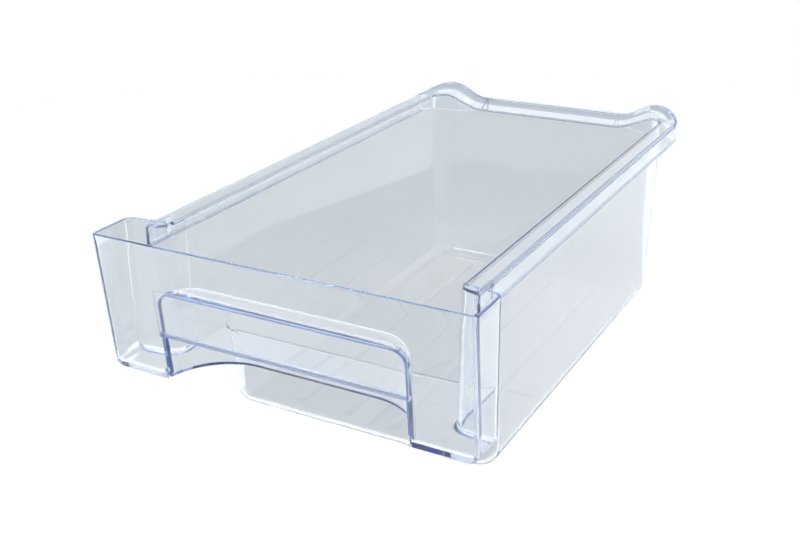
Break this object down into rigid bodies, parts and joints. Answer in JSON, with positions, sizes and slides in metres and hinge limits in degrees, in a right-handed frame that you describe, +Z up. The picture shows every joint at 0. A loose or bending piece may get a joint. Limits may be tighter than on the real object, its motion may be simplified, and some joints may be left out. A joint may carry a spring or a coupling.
{
  "type": "freezer drawer",
  "caption": "Clear stepped plastic drawer with a winged front panel, a finger pocket under a pull plate, and runner rails along its rim.",
  "frame": {"origin": "under the middle of the drawer's length and width, on the table that its floor rests on", "axes": "+Z up, +X to the drawer's right seen from the front, +Y from the front panel to the back"},
  "size_m": [0.27, 0.446, 0.1649],
  "materials": {
    "clear_plastic": "clear polished moulding with a faint blue tint",
    "clear_rim": "clear polished moulding, bluer along its edges"
  },
  "bodies": {
    "root": {"tub": "clear_plastic", "front_panel": "clear_plastic", "pull_plate": "clear_plastic", "grip_cup": "clear_plastic", "left_rail": "clear_rim", "right_rail": "clear_rim", "left_rear_stop": "clear_rim", "right_rear_stop": "clear_rim", "back_rim": "clear_rim", "left_front_clip": "clear_rim", "right_front_clip": "clear_rim"}
  },
  "joints": []
}
